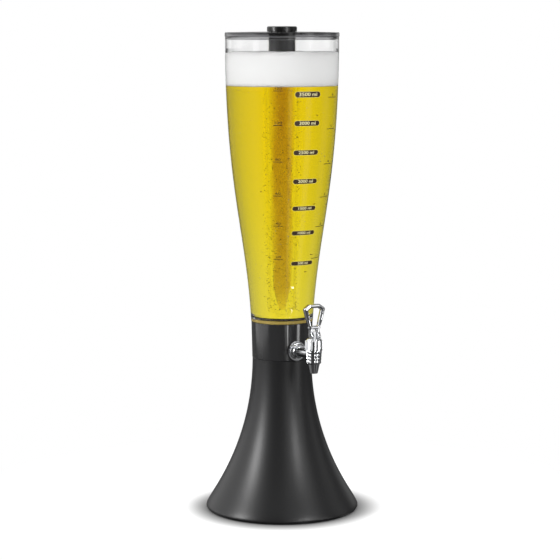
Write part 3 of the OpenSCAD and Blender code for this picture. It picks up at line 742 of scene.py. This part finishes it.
foam_white = finish("foam_white", (0.985, 0.985, 0.98), 0.75, 0.08, 0.9, 0.12, 0.012,
                    Specular_IOR_Level=0.0,
                    Emission_Color=(1.0, 1.0, 0.99, 1.0), Emission_Strength=0.08)
low, low_edge = DRINK_TOP - FOAM_DIP, inner_radius(DRINK_TOP) - FOAM_RIM
top_edge = inner_radius(FOAM_TOP) - FOAM_RIM
sides = np.linspace(DRINK_TOP - SIDE_FOOT, FOAM_TOP - SIDE_HEAD, RINGS_BESIDE)
profile = [(0, low)] + [(r, low) for r in np.linspace(HUB, low_edge, RINGS_BELOW)]
profile += [(inner_radius(z) + WETTING / 2, z) for z in sides]
profile += [(r, FOAM_TOP) for r in np.linspace(top_edge, HUB, RINGS_ABOVE)] + [(0, FOAM_TOP)]
points, faces = turn(profile)
foamed = []
for x, y, z in points:
    on_top, below = z > FOAM_TOP - NEAR_TOP, z < DRINK_TOP
    change = uneven(x, y, TOP_WAVES) if on_top else uneven(x, y, RAGGED) if below else 0
    foamed.append((x, y, z + change))
keep_mesh("foam", foamed, faces, foam_white, "reservoir_unit")
print("foam is", round((FOAM_TOP - DRINK_TOP) * 1000), "mm deep")

# %% [markdown]
# The scale is printed on the outside of the vessel. Print is often done with an
# image laid on the surface, but an image blurs close up. Here each printed patch
# is a thin body of ink: drawn flat, in millimetres from its middle, and then
# wrapped, so that the distance along it becomes a turn round the axis and the
# wall's own radius carries it.

# %% Wrapping print round the vessel
INK = 0.00005


def wrap(x, y, lift, turn_deg, z):
    """A point x mm along and y mm up from a patch's middle, on the vessel."""
    height = z + y / 1000
    r = outer_radius(height) + lift
    a = math.radians(turn_deg) + x / 1000 / outer_radius(z)
    return (r * math.sin(a), -r * math.cos(a), height)


def print_patch(layer, shape, turn_deg, z, lift):
    """Adds a flat mesh (points in mm, faces) to a layer of print, one ink thick."""
    points, faces = layer
    flat, flat_faces = shape
    first, n = len(points), len(flat)
    for depth in (lift, lift + INK):
        points += [wrap(x, y, depth, turn_deg, z) for x, y in flat]
    edges = {}
    for f in flat_faces:
        faces.append(tuple(first + n + i for i in f))
        faces.append(tuple(first + i for i in reversed(f)))
        for a, b in zip(f, f[1:] + f[:1]):
            edges[(a, b)] = True
    for a, b in edges:
        if (b, a) not in edges:
            faces.append((first + a, first + b, first + n + b, first + n + a))


print("wrapping helper ready, ink", INK * 1e6, "microns")

# %% [markdown]
# A badge is a dark bar with round ends, and a mark is a thin line. A single face
# for each would cut straight through the round vessel, so both are drawn as
# strips of narrow columns that can bend.

# %% Flat badges and lines
LEAST = 0.02          # half the height of a badge's last column, so that no face is empty


def strip(xs, columns):
    """A flat strip: places along it, and the heights of the points in each column."""
    flat = [(x, y) for x, column in zip(xs, columns) for y in column]
    tall = len(columns[0])
    faces = [(a, a + tall, a + tall + 1, a + 1)
             for i in range(len(xs) - 1) for a in range(tall * i, tall * i + tall - 1)]
    return flat, faces


def badge(width, height, straight_steps=28, round_steps=6):
    """A flat badge with round ends."""
    r = height / 2
    angles = [math.radians(90 * i / round_steps) for i in range(round_steps)]
    end = [-width / 2 + r * (1 - math.cos(a)) for a in angles]
    xs = end + list(np.linspace(-width / 2 + r, width / 2 - r, straight_steps))
    xs += [-x for x in reversed(end)]
    columns = []
    for x in xs:
        past = max(0.0, abs(x) - (width / 2 - r))
        h = max(LEAST, math.sqrt(max(0.0, r * r - past * past)))
        columns.append((-h, 0, h))
    return strip(xs, columns)


def bar(width, height, steps=10):
    """A flat line."""
    xs = np.linspace(-width / 2, width / 2, steps + 1)
    return strip(xs, [(-height / 2, height / 2)] * len(xs))


print("a badge has", len(badge(40, 8)[0]), "points")

# %% [markdown]
# The figures are plain lettering. They could be built from bars as on a clock,
# but the real ones are round and heavy. They come from Blender's own font, made
# a little fatter and turned into a mesh.

# %% Flat lettering
LETTER_WEIGHT = 0.004     # the figures are fatter than the font by this share


def words(text, height, width):
    """Flat lettering of a height in mm, centred, and stretched sideways."""
    curve = bpy.data.curves.new("lettering", "FONT")
    curve.body = text
    curve.align_x, curve.align_y = "CENTER", "CENTER"
    curve.size = height
    curve.resolution_u = 3
    curve.offset = height * LETTER_WEIGHT
    item = bpy.data.objects.new("lettering", curve)
    scene.collection.objects.link(item)
    bpy.context.view_layer.update()
    made = item.evaluated_get(bpy.context.evaluated_depsgraph_get()).to_mesh()
    flat = [(v.co.x * width, v.co.y) for v in made.vertices]
    faces = [tuple(p.vertices) for p in made.polygons if len(p.vertices) >= 3]
    bpy.data.objects.remove(item)
    bpy.data.curves.remove(curve)
    return flat, faces


print("a figure 8 has", len(words("8", 1, 1)[1]), "faces")

# %% [markdown]
# Down the front run dark badges with the volume in pale figures, each with a
# hair of pale ink round it. Two finer scales stand to the left and right, in
# other measures, as a small figure over a line. The places could be worked out
# from the volumes, but real scales drift a little, so each mark has its own.

# %% What the scale says
# Text, height of the middle, width and height in mm, turn in degrees
BADGES = [("3500 ml", 0.6035, 40.0, 8.0, 0.0), ("3000 ml", 0.5635, 39.5, 7.2, 0.0),
          ("2500 ml", 0.5225, 39.0, 6.8, 0.0), ("2000 ml", 0.4819, 38.5, 6.6, 0.9),
          ("1500 ml", 0.4435, 38.0, 6.2, 2.1), ("1000 ml", 0.4083, 37.5, 6.0, 3.7),
          ("500 ml", 0.3644, 36.5, 5.6, 6.2)]
# Text, height of the line, turn in degrees
LEFT_MARKS = [("120", 0.6086, -31.5), ("100", 0.5610, -31.7), ("80", 0.5099, -32.0),
              ("60", 0.4618, -32.3), ("40", 0.4189, -32.7), ("20", 0.3706, -33.2)]
RIGHT_MARKS = [("6", 0.5989, 36), ("5", 0.5545, 36), ("4", 0.5050, 35.6), ("3", 0.4579, 35.3),
               ("2", 0.4157, 35), ("1", 0.3700, 35)]
print(len(BADGES), "badges,", len(LEFT_MARKS) + len(RIGHT_MARKS), "side marks")

# %% [markdown]
# On the real vessel each ink is one pass of the printing screen. So each ink is
# one piece here, however many patches it has. Pieces for every badge would be
# easy too, but nobody moves a badge by itself. The inks lie on each other in the
# order in which they are printed.

# %% The printed scale
FIRST_INK, SECOND_INK, THIRD_INK = 0.00002, 0.00008, 0.00014    # height of each above the wall
BADGE_RIM = 0.8                       # mm of pale ink that the badge leaves free in all
FIGURE_TALL, FIGURE_WIDE = 0.88, 1.28    # of the badge's height, and of the font's width
MARK_LINE, MARK_FIGURE = 0.8, 4.6     # mm
MARK_RISE = 0.0034                    # from a mark's line to the middle of its figure

dark, pale, glow, black = ([], []), ([], []), ([], []), ([], [])
for text, z, width, height, turned in BADGES:
    print_patch(glow, badge(width + BADGE_RIM, height + BADGE_RIM), turned, z, FIRST_INK)
    print_patch(dark, badge(width, height), turned, z, SECOND_INK)
    print_patch(pale, words(text, height * FIGURE_TALL, FIGURE_WIDE), turned, z, THIRD_INK)
# The marks of a scale, the length of its lines in mm, and how wide its figures are
for marks, line, width in ((LEFT_MARKS, 13.5, 1.7), (RIGHT_MARKS, 24.0, 2.4)):
    for text, z, turned in marks:
        print_patch(black, bar(line, MARK_LINE), turned, z, FIRST_INK)
        print_patch(black, words(text, MARK_FIGURE, width), turned, z + MARK_RISE, FIRST_INK)

for piece, layer, ink, colour, rough in (
        ("scale_badges", dark, "print_brown", (0.036, 0.018, 0.007), 0.45),
        ("scale_figures", pale, "print_pale", (0.80, 0.74, 0.40), 0.5),
        ("scale_badge_rims", glow, "print_glow", (0.78, 0.66, 0.12), 0.5),
        ("scale_side_marks", black, "print_black", (0.02, 0.016, 0.01), 0.45)):
    keep_mesh(piece, *layer, finish(ink, colour, rough, 0.05, 0.4, 0.004), "reservoir_unit",
              smooth=False)
print("printed faces", [len(layer[1]) for layer in (glow, dark, pale, black)])

# %% [markdown]
# Fizz rises in the drink: strings of tiny bubbles climb along the ice tube, and
# a few larger ones cling to the vessel's wall. A particle system would scatter
# them too, but then they are not one mesh that can be kept. Each bubble is a
# small rounded body, and all together are one piece, because hundreds of objects
# would slow the scene for nothing. A bubble is so small that it is seen as a
# pale glint, so the glint is painted: each bubble is opaque and pale. A seed
# keeps them in the same places each time.

# %% A helper for bubbles
SEED = 7
rng = np.random.default_rng(SEED)


def drawn(low, more, power=1.0):
    """A random number from low to low + more, crowded near low by a power above 1."""
    return low + more * rng.random() ** power


def bubble(r, a, z, radius, points, faces, rings=4, steps=6):
    """Adds a small round bubble at a distance from the axis, a turn and a height."""
    first = len(points)
    middle = Vector((r * math.cos(a), r * math.sin(a), z))
    points.append((middle.x, middle.y, middle.z - radius))
    for k in range(1, rings):
        b = math.pi * k / rings
        for i in range(steps):
            c = 2 * math.pi * i / steps
            points.append((middle.x + radius * math.sin(b) * math.cos(c),
                           middle.y + radius * math.sin(b) * math.sin(c),
                           middle.z - radius * math.cos(b)))
    points.append((middle.x, middle.y, middle.z + radius))
    last = len(points) - 1
    for i in range(steps):
        j = (i + 1) % steps
        faces.append((first, first + 1 + j, first + 1 + i))
        for k in range(rings - 2):
            row = first + 1 + k * steps
            faces.append((row + i, row + j, row + steps + j, row + steps + i))
        row = first + 1 + (rings - 2) * steps
        faces.append((row + i, row + j, last))


print("bubble helper ready")

# %% [markdown]
# A few large bubbles and many small ones look natural. Even sizes would look
# like beads, so sizes and places are drawn with a lean to the low end.

# %% Bubbles
TUBE_BUBBLES, WALL_BUBBLES = 900, 130
ROUND = (0, 2 * math.pi)
# What drawn() takes for the height, the radius and the gap to the tube
TUBE_HEIGHT, TUBE_SIZE, TUBE_GAP = (0.292, 0.32, 1.2), (0.0003, 0.0004, 2), (0.0004, 0.004, 2)
WALL_HEIGHT, WALL_SIZE, WALL_GAP = (0.30, 0.31), (0.0004, 0.0005, 2), 0.0002

fizz = ([], [])
for k in range(TUBE_BUBBLES):
    z, a, radius = drawn(*TUBE_HEIGHT), drawn(*ROUND), drawn(*TUBE_SIZE)
    bubble(tube_radius(z) + drawn(*TUBE_GAP), a, z, radius, *fizz)
for k in range(WALL_BUBBLES):
    z, a, radius = drawn(*WALL_HEIGHT), drawn(*ROUND), drawn(*WALL_SIZE)
    bubble(inner_radius(z) - radius - WALL_GAP, a, z, radius, *fizz)
# The bubbles' pale colour is a painted glint.
bubble_glint = finish("bubble_glint", (0.95, 0.90, 0.55), 0.25, 0.05, 0.5)
keep_mesh("bubbles", *fizz, bubble_glint, "reservoir_unit")
print(TUBE_BUBBLES + WALL_BUBBLES, "bubbles")

# %% [markdown]
# The spring sits under the tap's bonnet and pushes the valve shut. When the lever
# lifts the stem, the spring shortens from below while its top end stays. Moving
# it with the stem would push it through the bonnet. So a copy of the CAD's coil,
# with a mesh of its own, stands for it and rides on the reservoir unit.

# %% The spring
spring = bpy.data.objects.new("spring_coil", nodes["tap_spring"].data.copy())
scene.collection.objects.link(spring)
spring.data.materials.clear()
spring.data.materials.append(steel)
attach(spring, "reservoir_unit")
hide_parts("tap_spring")
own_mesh(spring)

# %% [markdown]
# The lever is a die casting. The CAD lever has its size, its fork and its pin
# hole, and its loop is made of straight bars with hard edges. A casting has soft
# edges. A bevel would fail where so many bars meet, so the lever is wrapped with
# a fine even net whose corners are then relaxed.

# %% The lever's net
NET = 0.00045
RELAX_PASSES, RELAX_STRENGTH = 6, 0.5

lever = bpy.data.objects.new("lever_casting", nodes["tap_lever"].data.copy())
scene.collection.objects.link(lever)
net = lever.modifiers.new("net", "REMESH")
net.mode = "VOXEL"
net.voxel_size = NET
relax = lever.modifiers.new("relax", "SMOOTH")
relax.factor = RELAX_STRENGTH
relax.iterations = RELAX_PASSES
bpy.context.view_layer.update()
relaxed = bpy.data.meshes.new_from_object(
    lever.evaluated_get(bpy.context.evaluated_depsgraph_get()))
lever.modifiers.clear()
lever.data = relaxed
print("lever net", len(relaxed.polygons), "faces")

# %% [markdown]
# Relaxing shaves a little off the loop's bars, so they are let out again by as
# much. Scaling the lever up would move its pin hole too. Only the points above
# the fork move, each one outward, and never out of the CAD lever's box.

# %% The lever
LET_OUT = 0.00045                         # how far the loop's bars are let out
LET_OUT_FROM, LET_OUT_FULL = 0.018, 0.026    # heights above the lever's foot

low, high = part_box("tap_lever")
outward = [v.normal.copy() for v in relaxed.vertices]
for v, normal in zip(relaxed.vertices, outward):
    share = (v.co.z - low.z - LET_OUT_FROM) / (LET_OUT_FULL - LET_OUT_FROM)
    out = LET_OUT * min(1.0, max(0.0, share))
    v.co = [min(max(c + n * out, a), b) for c, n, a, b in zip(v.co, normal, low, high)]
relaxed.materials.clear()
relaxed.materials.append(chrome)
relaxed.shade_smooth()
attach(lever, "lever_unit")
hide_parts("tap_lever")
print("lever", [round((b - a) * 1000, 1) for a, b in zip(low, high)], "mm")

# %% [markdown]
# The low cards draw the streaks on the collar, but the clear vessel would mirror
# them too, as grey haze. A photographer sets up black flags between card and
# glass. Flags would show in other views, so light linking does their work: the
# low cards shine only on the opaque pieces near them.

# %% What the low cards shine on
near_cards = bpy.data.collections.new("near_cards")
for part in ("base_shell", "collar", "tap_body", "tap_bonnet", "valve_stem", "lever_pin"):
    near_cards.objects.link(nodes[part])
near_cards.objects.link(lever)
for lamp in low_cards:
    lamp.light_linking.receiver_collection = near_cards
